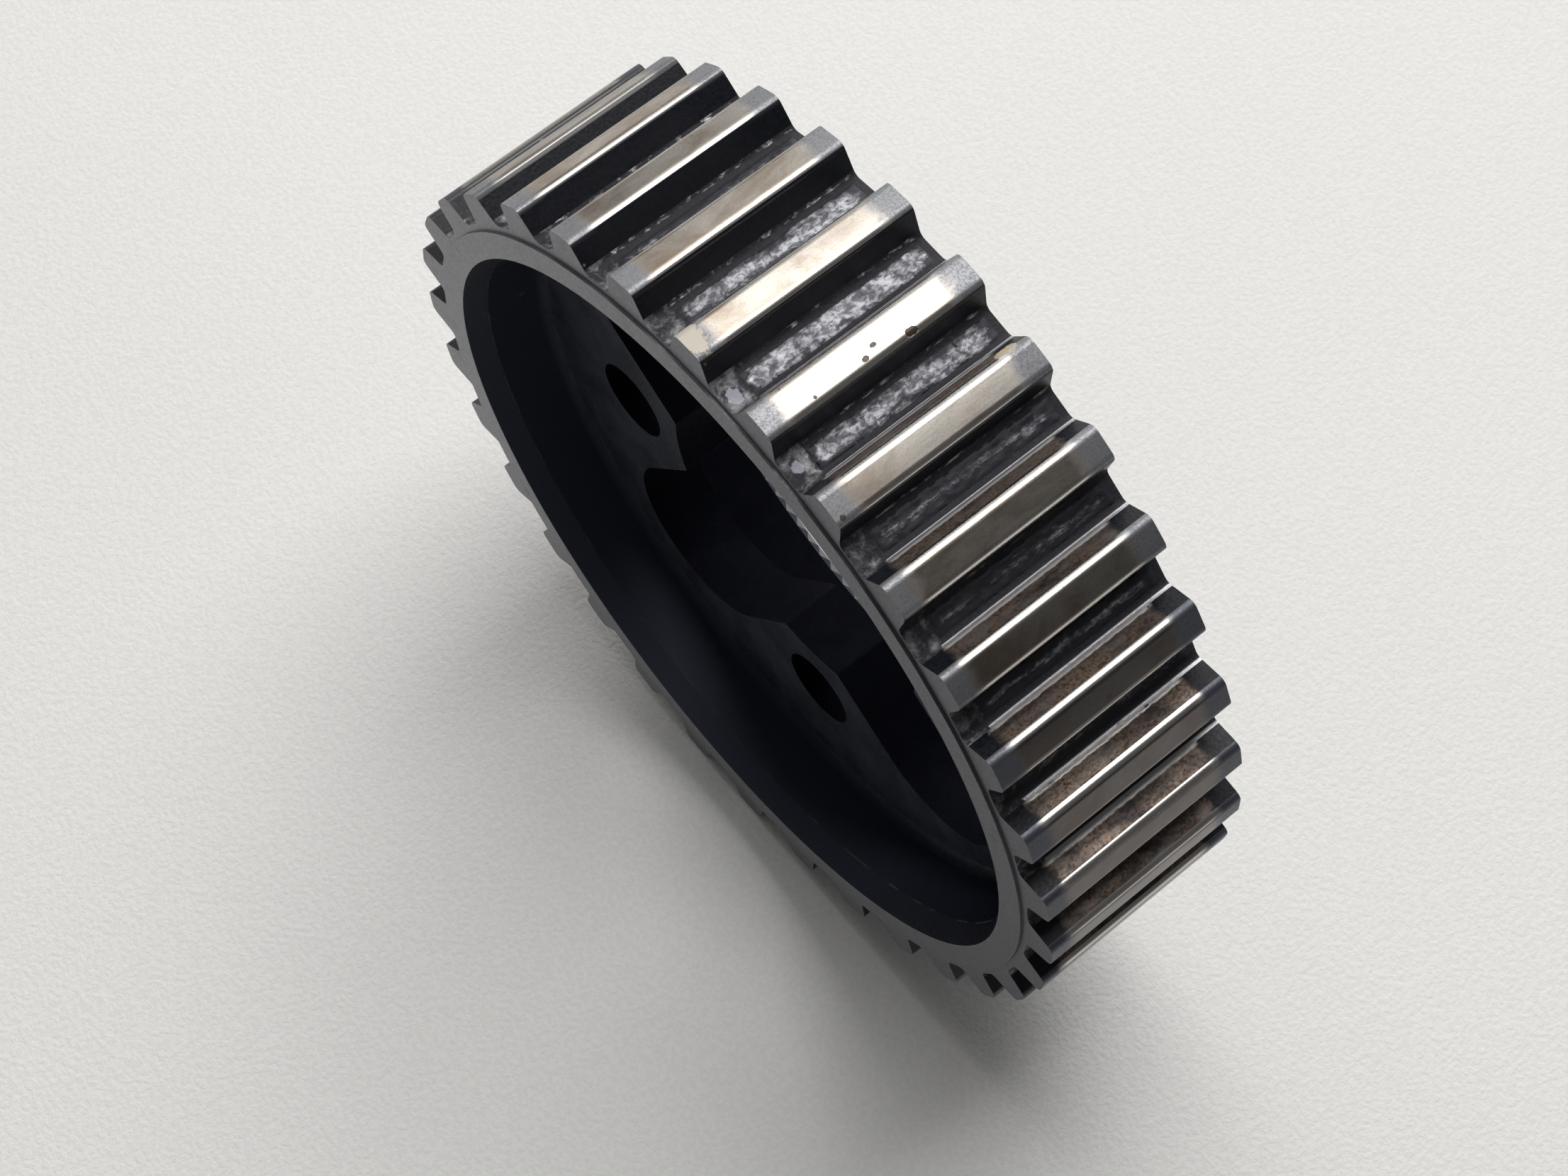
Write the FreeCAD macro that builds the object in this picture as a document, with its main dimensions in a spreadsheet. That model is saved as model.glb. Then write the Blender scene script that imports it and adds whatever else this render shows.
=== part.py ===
import FreeCAD, Part

import math
import os

import Sketcher

# Driving dimensions of the injection pump gear, in millimetres, degrees and counts.
SIZES = {
    # Belt teeth, straight and trapezoidal
    "tooth_count": 32,
    "belt_pitch": 9.525,
    "pitch_line_offset": 0.686,
    "tooth_length": 23.6,
    "groove_depth": 3.3,
    "groove_root_width": 3.3,
    "groove_side_angle": 22.5,
    "groove_root_radius": 0.9,
    "tooth_tip_radius": 0.9,
    # Turned section of the rim, the cup and the web
    "rim_wall": 4.7,
    "face_ring_margin": 0.7,
    "face_ring_step": 0.3,
    "mouth_flare": 1.05,
    "mouth_taper_depth": 2.35,
    "cup_depth": 9.2,
    "cup_floor_radius": 1.2,
    "web_thickness": 7.0,
    "back_rim_wall": 4.7,
    "back_recess_chamfer": 1.0,
    "back_edge_chamfer": 0.8,
    # Pilot bore, windows and bolt lugs in the web
    "pilot_diameter": 36.6,
    "lug_count": 4,
    "lug_tip_wall": 3.1,
    "lug_corner_radius": 0.5,
    "bolt_hole_diameter": 9.0,
    "window_width": 19.3,
    "window_rim_land": 3.9,
}

# Radii that follow from them: inwards from the tooth tips, which lie just inside the belt's pitch line.
TIP = "(Dimensions.tooth_count * Dimensions.belt_pitch / (2 * pi) - Dimensions.pitch_line_offset)"
ROOT = f"({TIP} - Dimensions.groove_depth)"
FACE_RING = f"({ROOT} - Dimensions.face_ring_margin)"
CUP = f"({ROOT} - Dimensions.rim_wall)"
MOUTH = f"({CUP} + Dimensions.mouth_flare)"
BACK_RECESS = f"({ROOT} - Dimensions.back_rim_wall)"
WINDOW_REACH = f"({CUP} - Dimensions.window_rim_land)"

# Radii outwards from the axis
PILOT = "(Dimensions.pilot_diameter / 2)"
BOLT_REACH = f"({PILOT} + Dimensions.lug_tip_wall + Dimensions.bolt_hole_diameter / 2)"

# Heights above the back face
RING_TOP = "(Dimensions.tooth_length + Dimensions.face_ring_step)"
WEB_FRONT = f"({RING_TOP} - Dimensions.cup_depth)"
WEB_BACK = f"({WEB_FRONT} - Dimensions.web_thickness)"

# How far a cutting outline runs past the tooth tips, so that it leaves no skin there.
RUN_OUT = 1.0

# How close an edge has to lie to the place where it is looked for.
NEAR = 0.01


def add_dimensions(doc):
    """Spreadsheet with one named cell for each driving dimension."""
    sheet = doc.addObject("Spreadsheet::Sheet", "Dimensions")
    for row, (name, value) in enumerate(SIZES.items(), start=1):
        sheet.set(f"A{row}", name.replace("_", " "))
        sheet.set(f"B{row}", str(value))
        sheet.setAlias(f"B{row}", name)
    doc.recompute()
    return sheet


def add_sketch(body, name, plane_role):
    """Empty sketch on one of the body's own origin planes."""
    plane = next(f for f in body.Origin.OriginFeatures if f.Role == plane_role)
    sketch = body.newObject("Sketcher::SketchObject", name)
    sketch.AttachmentSupport = [(plane, "")]
    sketch.MapMode = "FlatFace"
    return sketch


def add_outline(sketch, corners):
    """Closed outline of straight lines through the corners; line i starts at corner i."""
    points = [FreeCAD.Vector(x, y, 0) for x, y in corners]
    count = len(points)
    for i in range(count):
        sketch.addGeometry(Part.LineSegment(points[i], points[(i + 1) % count]), False)
    for i in range(count):
        sketch.addConstraint(Sketcher.Constraint("Coincident", i, 2, (i + 1) % count, 1))


def drive(sketch, name, expression, kind, *place):
    """Dimension in a sketch, held by an expression of the spreadsheet's cells."""
    index = sketch.addConstraint(Sketcher.Constraint(kind, *place))
    sketch.renameConstraint(index, name)
    sketch.setExpression(f"Constraints.{name}", expression)


def values(doc, *rules):
    """Numbers that expressions of the spreadsheet's cells come to."""
    return [float(doc.Dimensions.evalExpression(rule)) for rule in rules]


def add_blank(body):
    """Turned blank: toothless rim with its face ring, tapered mouth, cup, web and back recess."""
    tip, ring, mouth, cup, recess, pilot = values(body.Document, TIP, FACE_RING, MOUTH, CUP, BACK_RECESS, PILOT)
    ring_top, web_front, web_back = values(body.Document, RING_TOP, WEB_FRONT, WEB_BACK)
    tooth_end, taper = SIZES["tooth_length"], SIZES["mouth_taper_depth"]

    sketch = add_sketch(body, "BlankSection", "XZ_Plane")
    add_outline(sketch, [
        (recess, 0), (tip, 0), (tip, tooth_end), (ring, tooth_end), (ring, ring_top), (mouth, ring_top),
        (cup, ring_top - taper), (cup, web_front), (pilot, web_front), (pilot, web_back), (recess, web_back),
    ])
    for line in (0, 2, 4, 7, 9):
        sketch.addConstraint(Sketcher.Constraint("Horizontal", line))
    for line in (1, 3, 6, 8, 10):
        sketch.addConstraint(Sketcher.Constraint("Vertical", line))
    sketch.addConstraint(Sketcher.Constraint("PointOnObject", 0, 1, -1))
    drive(sketch, "tip_radius", TIP, "DistanceX", -1, 1, 0, 2, tip)
    drive(sketch, "face_ring_radius", FACE_RING, "DistanceX", -1, 1, 4, 1, ring)
    drive(sketch, "mouth_radius", MOUTH, "DistanceX", -1, 1, 5, 1, mouth)
    drive(sketch, "cup_radius", CUP, "DistanceX", -1, 1, 7, 1, cup)
    drive(sketch, "pilot_radius", PILOT, "DistanceX", -1, 1, 8, 1, pilot)
    drive(sketch, "back_recess_radius", BACK_RECESS, "DistanceX", -1, 1, 0, 1, recess)
    drive(sketch, "tooth_length", "Dimensions.tooth_length", "DistanceY", 1, 1, 1, 2, tooth_end)
    drive(sketch, "face_ring_step", "Dimensions.face_ring_step", "DistanceY", 3, 1, 3, 2, ring_top - tooth_end)
    drive(sketch, "mouth_taper_depth", "Dimensions.mouth_taper_depth", "DistanceY", 6, 1, 5, 1, taper)
    drive(sketch, "cup_depth", "Dimensions.cup_depth", "DistanceY", 7, 1, 5, 1, ring_top - web_front)
    drive(sketch, "web_thickness", "Dimensions.web_thickness", "DistanceY", 8, 2, 8, 1, web_front - web_back)

    blank = body.newObject("PartDesign::Revolution", "Blank")
    blank.Profile = sketch
    blank.ReferenceAxis = (sketch, ["V_Axis"])
    blank.Angle = 360
    return blank


def add_cut(body, name, sketch):
    """Cut through the whole body, both ways from the sketch."""
    cut = body.newObject("PartDesign::Pocket", name)
    cut.Profile = sketch
    cut.Type = "ThroughAll"
    cut.Midplane = True
    return cut


def add_ring_of(body, name, feature, count):
    """Copies of a cut, spread evenly round the gear's axis."""
    doc = body.Document
    doc.recompute()
    axis = next(f for f in body.Origin.OriginFeatures if f.Role == "Z_Axis")
    ring = body.newObject("PartDesign::PolarPattern", name)
    ring.Originals = [feature]
    ring.Axis = (axis, [""])
    ring.Angle = 360
    ring.setExpression("Occurrences", f"Dimensions.{count}")
    body.Tip = ring
    doc.recompute()
    return ring


def add_windows(body):
    """Round-ended windows between the lugs, open to the pilot bore."""
    half = SIZES["window_width"] / 2
    reach, = values(body.Document, WINDOW_REACH)
    end = reach - half
    turn = math.pi / SIZES["lug_count"]

    def place(along, across):
        return FreeCAD.Vector(
            along * math.cos(turn) - across * math.sin(turn), along * math.sin(turn) + across * math.cos(turn), 0)

    sketch = add_sketch(body, "WindowOutline", "XY_Plane")
    arc = Part.Arc(place(end, -half), place(end + half, 0), place(end, half))
    sketch.addGeometry(Part.LineSegment(place(0, -half), place(end, -half)), False)
    sketch.addGeometry(arc, False)
    sketch.addGeometry(Part.LineSegment(place(end, half), place(0, half)), False)
    sketch.addGeometry(Part.LineSegment(place(0, half), place(0, -half)), False)
    sketch.addGeometry(Part.LineSegment(place(0, 0), place(end, 0)), True)
    sketch.addConstraint(Sketcher.Constraint("Tangent", 0, 2, 1, 1))
    sketch.addConstraint(Sketcher.Constraint("Tangent", 1, 2, 2, 1))
    sketch.addConstraint(Sketcher.Constraint("Coincident", 2, 2, 3, 1))
    sketch.addConstraint(Sketcher.Constraint("Coincident", 3, 2, 0, 1))
    sketch.addConstraint(Sketcher.Constraint("Coincident", 4, 1, -1, 1))
    sketch.addConstraint(Sketcher.Constraint("Coincident", 4, 2, 1, 3))
    sketch.addConstraint(Sketcher.Constraint("Symmetric", 0, 1, 2, 2, -1, 1))
    sketch.addConstraint(Sketcher.Constraint("Perpendicular", 3, 4))
    drive(sketch, "window_half_width", "Dimensions.window_width / 2", "Radius", 1, half)
    drive(sketch, "window_end", f"{WINDOW_REACH} - Dimensions.window_width / 2", "Distance", 4, end)
    drive(sketch, "window_turn", "180 deg / Dimensions.lug_count", "Angle", -1, 1, 4, 1, turn)
    window = add_cut(body, "Window", sketch)
    return add_ring_of(body, "Windows", window, "lug_count")


def add_bolt_holes(body):
    """One plain bolt hole through the middle of each lug."""
    radius = SIZES["bolt_hole_diameter"] / 2
    reach, = values(body.Document, BOLT_REACH)
    sketch = add_sketch(body, "BoltHoleOutline", "XY_Plane")
    circle = Part.Circle(FreeCAD.Vector(reach, 0, 0), FreeCAD.Vector(0, 0, 1), radius)
    sketch.addGeometry(circle, False)
    sketch.addConstraint(Sketcher.Constraint("PointOnObject", 0, 3, -1))
    drive(sketch, "hole_radius", "Dimensions.bolt_hole_diameter / 2", "Radius", 0, radius)
    drive(sketch, "hole_reach", BOLT_REACH, "DistanceX", -1, 1, 0, 3, reach)
    hole = add_cut(body, "BoltHole", sketch)
    return add_ring_of(body, "BoltHoles", hole, "lug_count")


def add_grooves(body):
    """Trapezoidal belt grooves; what stands between them are the teeth."""
    tip, root = values(body.Document, TIP, ROOT)
    half = SIZES["groove_root_width"] / 2
    slope = math.radians(SIZES["groove_side_angle"])
    outer = tip + RUN_OUT
    outer_half = half + (outer - root) * math.tan(slope)

    sketch = add_sketch(body, "GrooveOutline", "XY_Plane")
    add_outline(sketch, [(root, -half), (outer, -outer_half), (outer, outer_half), (root, half)])
    sketch.addConstraint(Sketcher.Constraint("Symmetric", 0, 1, 2, 2, -1))
    sketch.addConstraint(Sketcher.Constraint("Symmetric", 0, 2, 1, 2, -1))
    drive(sketch, "root_width", "Dimensions.groove_root_width", "DistanceY", 0, 1, 2, 2, 2 * half)
    drive(sketch, "root_radius", ROOT, "DistanceX", -1, 1, 0, 1, root)
    drive(sketch, "outer_end", f"{TIP} + {RUN_OUT}", "DistanceX", -1, 1, 0, 2, outer)
    drive(sketch, "side_angle", "Dimensions.groove_side_angle * 1 deg", "Angle", -1, 1, 2, 2, slope)
    groove = add_cut(body, "Groove", sketch)
    return add_ring_of(body, "Grooves", groove, "tooth_count")


def upright_edges(shape, radius, length):
    """Names of the edges along the axis that lie at this radius and have this length."""
    names = []
    for i, edge in enumerate(shape.Edges, start=1):
        start, end = edge.Vertexes[0].Point, edge.Vertexes[-1].Point
        upright = math.hypot(start.x - end.x, start.y - end.y) < NEAR
        at_radius = abs(math.hypot(start.x, start.y) - radius) < NEAR
        if upright and at_radius and abs(edge.Length - length) < NEAR:
            names.append(f"Edge{i}")
    return names


def round_edges(shape, radius, height):
    """Names of the edges that are arcs or circles about the axis, at this radius and height."""
    names = []
    for i, edge in enumerate(shape.Edges, start=1):
        if not isinstance(edge.Curve, Part.Circle):
            continue
        centre = edge.Curve.Center
        about_axis = math.hypot(centre.x, centre.y) < NEAR
        if about_axis and abs(edge.Curve.Radius - radius) < NEAR and abs(centre.z - height) < NEAR:
            names.append(f"Edge{i}")
    return names


def add_dress_up(body, kind, name, edges, size):
    """Fillet or chamfer on the named edges of the shape so far."""
    base = body.Tip
    feature = body.newObject(kind, name)
    feature.Base = (base, edges)
    feature.setExpression("Radius" if kind.endswith("Fillet") else "Size", f"Dimensions.{size}")
    body.Tip = feature
    body.Document.recompute()
    return feature


def build_pump_gear(doc):
    """Toothed cup of the pump gear, in one piece."""
    body = doc.addObject("PartDesign::Body", "PumpGear")
    body.Label = "pump_gear"
    fillet, chamfer = "PartDesign::Fillet", "PartDesign::Chamfer"
    tip, root, cup, recess, pilot = values(doc, TIP, ROOT, CUP, BACK_RECESS, PILOT)
    web_front, web_back = values(doc, WEB_FRONT, WEB_BACK)

    add_blank(body)
    doc.recompute()
    add_dress_up(body, fillet, "CupFloorFillet", round_edges(body.Shape, cup, web_front), "cup_floor_radius")
    recess_corner = round_edges(body.Shape, recess, web_back)
    add_dress_up(body, chamfer, "BackRecessChamfer", recess_corner, "back_recess_chamfer")
    add_dress_up(body, chamfer, "BackEdgeChamfer", round_edges(body.Shape, recess, 0), "back_edge_chamfer")

    add_windows(body)
    lug_corners = upright_edges(body.Shape, pilot, SIZES["web_thickness"])
    add_dress_up(body, fillet, "LugCorners", lug_corners, "lug_corner_radius")
    add_bolt_holes(body)

    add_grooves(body)
    groove_corner = math.hypot(root, SIZES["groove_root_width"] / 2)
    root_corners = upright_edges(body.Shape, groove_corner, SIZES["tooth_length"])
    add_dress_up(body, fillet, "GrooveRootFillets", root_corners, "groove_root_radius")
    tip_corners = upright_edges(body.Shape, tip, SIZES["tooth_length"])
    add_dress_up(body, fillet, "ToothTipFillets", tip_corners, "tooth_tip_radius")
    body.Placement = FreeCAD.Placement()
    return body


def check(doc, bodies):
    """Stop with a message if any object failed or any sub-part is not a sound solid."""
    for item in doc.Objects:
        failed = {"Invalid", "Error"} & set(item.State)
        if failed:
            raise RuntimeError(f"{item.Name} is {sorted(failed)}")
    for body in bodies:
        if body.Shape.isNull() or not body.Shape.isValid() or len(body.Shape.Solids) != 1:
            raise RuntimeError(f"{body.Label} is not one sound solid")


def main():
    doc = FreeCAD.newDocument("InjectionPumpGear")
    add_dimensions(doc)
    bodies = [build_pump_gear(doc)]
    doc.recompute()
    check(doc, bodies)
    os.makedirs("parts", exist_ok=True)
    for body in bodies:
        body.Shape.exportStep(f"parts/{body.Label}.step")
        box = body.Shape.BoundBox
        print(f"{body.Label}: {box.XLength:.2f} x {box.YLength:.2f} x {box.ZLength:.2f} mm, "
              f"{body.Shape.Volume / 1000:.2f} cm3, {len(body.Shape.Faces)} faces")


main()
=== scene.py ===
import math

import bpy
from bpy.props import (FloatProperty, FloatVectorProperty, IntProperty,
                       PointerProperty)
from bpy.types import NodeSocket, Operator, Panel, PropertyGroup
from mathutils import Matrix, Vector


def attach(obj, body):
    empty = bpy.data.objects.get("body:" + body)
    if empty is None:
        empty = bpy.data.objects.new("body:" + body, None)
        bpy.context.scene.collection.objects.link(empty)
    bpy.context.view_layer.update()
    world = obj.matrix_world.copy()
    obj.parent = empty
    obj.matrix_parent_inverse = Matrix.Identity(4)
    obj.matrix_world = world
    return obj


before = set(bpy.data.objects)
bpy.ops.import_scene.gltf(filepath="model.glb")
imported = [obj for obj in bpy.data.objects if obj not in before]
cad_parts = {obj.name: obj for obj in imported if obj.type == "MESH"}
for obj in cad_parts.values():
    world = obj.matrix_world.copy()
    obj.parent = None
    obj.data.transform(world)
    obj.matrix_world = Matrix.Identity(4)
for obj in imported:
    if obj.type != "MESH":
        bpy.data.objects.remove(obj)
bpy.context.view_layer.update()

bl_info = {
    "name": "Injection pump gear",
    "version": (1, 0, 0),
    "blender": (4, 5, 0),
    "location": "3D View > Sidebar > Pump gear",
    "description": "Worn, oily finish, dried grime and a studio for a toothed belt gear",
    "category": "Object",
}

GEAR = "pump_gear"
TEETH = 32
MM = 0.001


# ---------------- settings

def length(name, description, default):
    """A length in metres that the sidebar shows with its unit."""
    return FloatProperty(name=name, description=description, default=default,
                         min=0.0, precision=5, subtype="DISTANCE", unit="LENGTH")


def colour(name, description, default):
    """A colour, written as the light that it throws back."""
    return FloatVectorProperty(name=name, description=description, default=default,
                               size=3, min=0.0, max=1.0, subtype="COLOR")


def share(name, description, default):
    """A plain share from none to all."""
    return FloatProperty(name=name, description=description, default=default,
                         min=0.0, max=1.0, subtype="FACTOR")


def bearing(name, description, degrees):
    """An angle round the axis, given in degrees."""
    return FloatProperty(name=name, description=description,
                         default=math.radians(degrees), subtype="ANGLE", unit="ROTATION")


def watts(name, description, default):
    """The power of a lamp."""
    return FloatProperty(name=name, description=description, default=default,
                         min=0.0, unit="POWER")


def heading(name, description, default):
    """A direction from the gear."""
    return FloatVectorProperty(name=name, description=description, default=default,
                               size=3, subtype="DIRECTION")


class GearSizes(PropertyGroup):
    """Where the gear's own surfaces lie."""

    teeth: IntProperty(name="Teeth", description="Belt teeth round the rim",
                       default=TEETH, min=12, max=80)
    tip_radius: length("Tip radius", "From the axis to the tooth lands", 0.047824)
    tip_foot: length("Tip rounding foot", "Radius where a tip rounding runs into the flank",
                     0.04725)
    root_head: length("Root rounding head", "Radius where a root rounding runs into the flank",
                      0.04510)
    root_radius: length("Root radius", "From the axis to the floor of the gaps", 0.044524)
    ring_radius: length("Face ring radius", "Outer radius of the raised face ring", 0.043824)
    tooth_end: length("Tooth ends", "Height of the tooth ends above the back", 0.0236)
    cup_radius: length("Cup radius", "Inner radius of the cup below its mouth", 0.039824)
    mouth_foot: length("Mouth foot", "Height where the mouth taper ends", 0.02155)
    web_front: length("Web front", "Height of the web's front face", 0.0147)


class WearSizes(PropertyGroup):
    """Where the belt has run, how stained and rubbed the gear is, and the turns round which
    light and shade are painted on the lands, the end faces and the cup.
    """

    track_near: length("Track near edge", "Height of the belt track's edge by the open end",
                       0.0211)
    track_far: length("Track far edge", "Height of the belt track's edge by the back", 0.0029)
    track_wobble: length("Track wobble", "How far the track's edge wanders", 0.0004)
    stain: share("Stain", "Share of the polished lands under brown stain", 0.5)
    flank_wear: share("Flank wear", "Share of the driven flanks rubbed to brown", 0.6)
    speckle: share("Speckle", "Strength of the fine speckle in the steel", 0.5)
    # painted highlight: the lands and their dull ends are painted brightest round this turn,
    # under the lamps, and darker away from it
    highlight_turn: bearing("Shiny turn", "Where on the rim the lands are barest", -6.0)
    # painted light: the end faces are painted lighter round this turn and darker away from it
    lit_ring_turn: bearing("Dry turn", "Where on the rim the face ring is driest", 100.0)
    # painted light: the cup's wall is painted paler round this turn
    lit_wall_turn: bearing("Dust turn", "Where the cup's wall is dustiest", 125.0)


class SteelColours(PropertyGroup):
    """Colours of the gear's finishes."""

    polished: colour("Polished steel", "Tooth lands that the belt has polished",
                     (0.57, 0.535, 0.49))
    edge: colour("Polished edge", "Rounded edges of the lands", (0.80, 0.78, 0.75))
    stain: colour("Brown stain", "Heat and oil stain on the lands", (0.27, 0.195, 0.135))
    speck: colour("Land specks", "Brown specks on the lands", (0.20, 0.165, 0.13))
    # painted shade laid over the lands away from the highlight turn
    painted_shade: colour("Oil film", "Thin dark film on the lands far from the shiny side",
                 (0.085, 0.078, 0.08))
    tan: colour("Tan on a land", "Dried smear on the end of a land", (0.50, 0.46, 0.40))
    pit: colour("Pits", "Brown bottoms of the nicks and pits", (0.06, 0.042, 0.032))
    # painted light and painted shade: the dull ends are lighter near the highlight turn and
    # take the darker colour below away from it
    dull: colour("Dull steel", "Ends of the barest lands beside the belt track",
                 (0.27, 0.275, 0.29))
    dull_shaded: colour("Darker dull steel", "Ends of the other lands", (0.085, 0.09, 0.11))
    dull_speck: colour("Dull specks", "Dark specks beside the track", (0.05, 0.05, 0.062))
    oiled: colour("Oiled flank", "Black oiled sides of the teeth", (0.007, 0.008, 0.012))
    oil_speck: colour("Oil specks", "Paler specks in the flanks' oil", (0.014, 0.015, 0.021))
    rubbed: colour("Rubbed flank", "Brown where the belt rubs a flank", (0.25, 0.18, 0.135))
    rubbed_speck: colour("Rubbed specks", "Dark specks on rubbed flanks", (0.07, 0.05, 0.042))
    rubbed_grey: colour("Rubbed grey", "Grey patches where the belt rubs", (0.24, 0.215, 0.20))
    # a bare rubbed line, painted near white as a highlight along the driven flank's foot
    foot_highlight: colour("Foot line", "Bare line along the foot of a flank", (0.85, 0.82, 0.79))
    flank_tan: colour("Tan on a flank", "Dried smear by a flank's end", (0.56, 0.44, 0.30))
    flank_fleck: colour("Flank flecks", "Bare flecks on the flanks", (0.16, 0.155, 0.16))
    root: colour("Root", "Dark floor of the gaps", (0.020, 0.020, 0.026))
    root_lump: colour("Root lumps", "Paler lumps on the gaps' floor", (0.055, 0.056, 0.07))
    clean_root: colour("Rubbed root", "Bright roundings and swept ends of the gaps",
                       (0.46, 0.455, 0.475))
    pale_spot: colour("Pale spots", "Dry spots on the swept gap ends", (0.36, 0.37, 0.42))
    end_face: colour("End face", "Grey face ring and tooth ends", (0.20, 0.205, 0.225))
    end_cloud: colour("End face clouds", "Bluer clouds on the end faces", (0.20, 0.205, 0.23))
    end_speck: colour("End face specks", "Fine specks on the end faces", (0.20, 0.20, 0.21))
    end_oil: colour("End face oil", "Oil spots on the end faces", (0.045, 0.045, 0.055))
    # painted shade on the end faces away from the lit side
    end_shaded: colour("Oily end face", "End faces far from the dry side", (0.06, 0.063, 0.075))
    cup: colour("Cup", "Oiled inside of the cup", (0.0070, 0.0078, 0.0135))
    cup_speck: colour("Cup specks", "Black specks in the cup's oil", (0.0045, 0.0052, 0.010))
    # painted light on one side of the cup's wall
    cup_lit: colour("Cup dust", "Dusty film on one side of the cup", (0.040, 0.044, 0.062))
    web: colour("Web", "Lugs and web floor", (0.052, 0.057, 0.073))
    # thin lines painted pale as glints along the mouth taper's foot and the wall's foot, and
    # bare flecks
    glint_and_fleck: colour("Scratch", "Bare lines and flecks in the cup", (0.08, 0.08, 0.09))
    # black oil, painted near black as the shade in the windows, holes and back recess
    bore_oil_and_shade: colour("Bores", "Walls of the windows, the holes and the back recess",
                 (0.0030, 0.0034, 0.0060))
    bore_cloud: colour("Bore clouds", "Paler clouds on those walls", (0.006, 0.0065, 0.010))


class GrimeSizes(PropertyGroup):
    """Dried grime in the gaps between the teeth."""

    half_width: length("Half width", "From the middle of a gap to the grime's side", 0.00112)
    flat_half_width: length("Flat half width", "Half of the flat floor of a gap", 0.00105)
    rounding: length("Gap rounding", "Radius between the floor of a gap and its flanks",
                     0.0009)
    start: length("Start", "Height where the grime begins near the back", 0.0008)
    end: length("End", "Height where the grime ends near the open face", 0.0208)
    shell: length("Shell", "Depth of the grime's foot in the steel", 0.0002)
    lump_height: length("Lump height", "How high the lumps stand", 0.00024)
    lump_size: length("Lump size", "Width of one lump", 0.0006)
    lump_contrast: FloatProperty(name="Lump contrast", default=1.6, min=0.1,
                                 description="How steeply the lumps rise")
    sunk: share("Sunk share", "Share of the lumps' height that lies below the strip", 0.10)
    rows: IntProperty(name="Rows", description="Steps along one gap", default=64, min=8)
    columns: IntProperty(name="Columns", description="Steps across one gap", default=10, min=4)
    smooth_angle: bearing("Smooth angle", "Edges flatter than this are shaded smooth", 60.0)
    dark: colour("Dark grime", "Oily hollows of the grime", (0.022, 0.023, 0.032))
    # pale crust tops, painted palest in the gap under the lamps as glints
    pale: colour("Pale grime", "Dry tops of the grime", (0.80, 0.81, 0.88))
    # painted glints: the grime is drawn full and palest in the gap round this turn, under the
    # lamps
    lit_gap_turn: bearing("Thick turn", "Where on the rim the grime is thickest", -360 / TEETH)


class StageValues(PropertyGroup):
    """Floor, lamps and camera."""

    floor: colour("Floor", "Pale tabletop", (0.85, 0.845, 0.83))
    floor_turn: bearing("Floor turn", "Angle of the floor's normal", -360 / TEETH)
    floor_offset: length("Floor offset", "From the axis to the floor", 0.04772)
    floor_size: length("Floor size", "Side of the square floor", 3.0)
    key_power: watts("Key power", "Power of the lamp that casts the shadow", 3.0)
    key_size: length("Key size", "Side of the square key lamp", 0.70)
    key_direction: heading("Key direction", "From the gear to the key lamp",
                           (0.897, 0.437, -0.070))
    gloss_power: watts("Gloss power", "Power of the wide lamp that shows in the lands", 17.0)
    gloss_size: length("Gloss size", "Width of the gloss lamp round the gear", 0.92)
    gloss_length: length("Gloss length", "Length of the gloss lamp along the axis", 1.25)
    gloss_direction: heading("Gloss direction", "From the gear to the gloss lamp",
                             (0.940, 0.0, -0.342))
    side_power: watts("Side power", "Power of the wide lamp that lights the far floor", 11.0)
    side_size: length("Side size", "Width of the side lamp round the gear", 1.05)
    side_length: length("Side length", "Length of the side lamp along the axis", 1.05)
    side_direction: heading("Side direction", "From the gear to the side lamp",
                            (0.332, 0.624, -0.707))
    lamp_colour: colour("Lamp colour", "Slightly warm light", (1.0, 0.99, 0.975))
    lamp_distance: length("Lamp distance", "From the gear to the lamps", 1.5)
    aim_height: length("Aim height", "Height on the axis that the lamps look at", 0.012)
    room_light: share("Light side", "Brightness of the light side of the room", 0.17)
    room_dark: share("Dark side", "Brightness of the dark side of the room", 0.085)
    camera_place: FloatVectorProperty(name="Camera place", size=3, subtype="TRANSLATION",
                                      unit="LENGTH", description="Where the camera stands",
                                      default=(0.2549562, -0.1440778, 0.0980166))
    camera_turn: FloatVectorProperty(name="Camera turn", size=3, subtype="EULER",
                                     unit="ROTATION", description="How the camera is turned",
                                     default=(math.radians(-65.4625), math.radians(50.2572),
                                              math.radians(-99.7411)))
    camera_lens: FloatProperty(name="Lens", description="Focal length on a 36 mm sensor",
                               default=71.137, min=10.0)


# ---------------- node wiring

NODE_WIDTH, NODE_HEIGHT, NODES_PER_COLUMN = 200, 220, 4


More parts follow.
